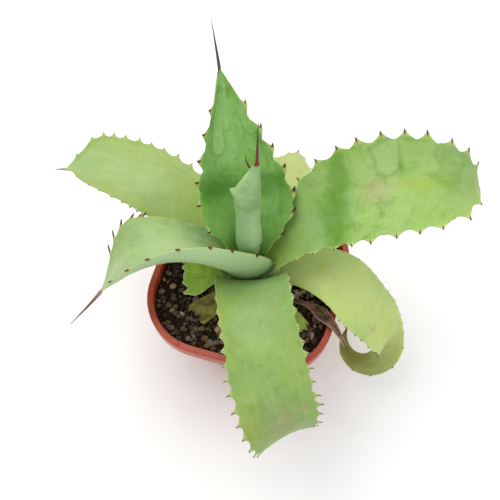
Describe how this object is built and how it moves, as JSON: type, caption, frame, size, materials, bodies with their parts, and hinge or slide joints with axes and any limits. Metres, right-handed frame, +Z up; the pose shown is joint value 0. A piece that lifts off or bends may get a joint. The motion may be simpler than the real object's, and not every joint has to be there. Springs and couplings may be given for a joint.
{
  "type": "potted agave",
  "caption": "Young agave with broad toothed leaves and long end spines, planted in gritty soil in a small soft-cornered terracotta-coloured plastic pot.",
  "frame": {"origin": "centre of the pot's flat underside", "axes": "+Z up along the pot, -Y towards the leaf that bends down in front, +X towards the long broad leaf"},
  "size_m": [0.2771, 0.2335, 0.2255],
  "materials": {
    "leaf_young": "waxy, smooth",
    "leaf": "waxy, smooth",
    "leaf_old": "waxy, slightly matt",
    "leaf_pale": "waxy, pale",
    "bud": "matt bloom",
    "leaf_stub": "cut, satin",
    "leaf_withered": "wrinkled, matt",
    "leaf_dry": "dry, matt",
    "stem": "matt",
    "pot_plastic": "satin moulded plastic",
    "potting_mix": "coarse, matt",
    "gravel": "rough"
  },
  "bodies": {
    "root": {"back_leaf": "leaf_pale", "bud_leaf": "bud", "curled_leaf": "leaf_old", "cut_leaf_left": "leaf_stub", "cut_leaf_right": "leaf_stub", "dry_leaf": "leaf_dry", "folded_leaf": "leaf_young", "front_leaf": "leaf_old", "left_leaf": "leaf_old", "pot": "pot_plastic", "right_leaf": "leaf", "soil": "potting_mix", "stem": "stem", "stone_01": "gravel", "stone_02": "gravel", "stone_03": "gravel", "stone_04": "gravel", "stone_05": "gravel", "stone_06": "gravel", "stone_07": "gravel", "stone_08": "gravel", "stone_09": "gravel", "stone_10": "gravel", "stone_11": "gravel", "stone_12": "gravel", "stone_13": "gravel", "stone_14": "gravel", "stone_15": "gravel", "stone_16": "gravel", "stone_17": "gravel", "stone_18": "gravel", "stone_19": "gravel", "stone_20": "gravel", "stone_21": "gravel", "stone_22": "gravel", "tall_leaf": "leaf_young", "withered_stub": "leaf_withered"}
  },
  "joints": []
}
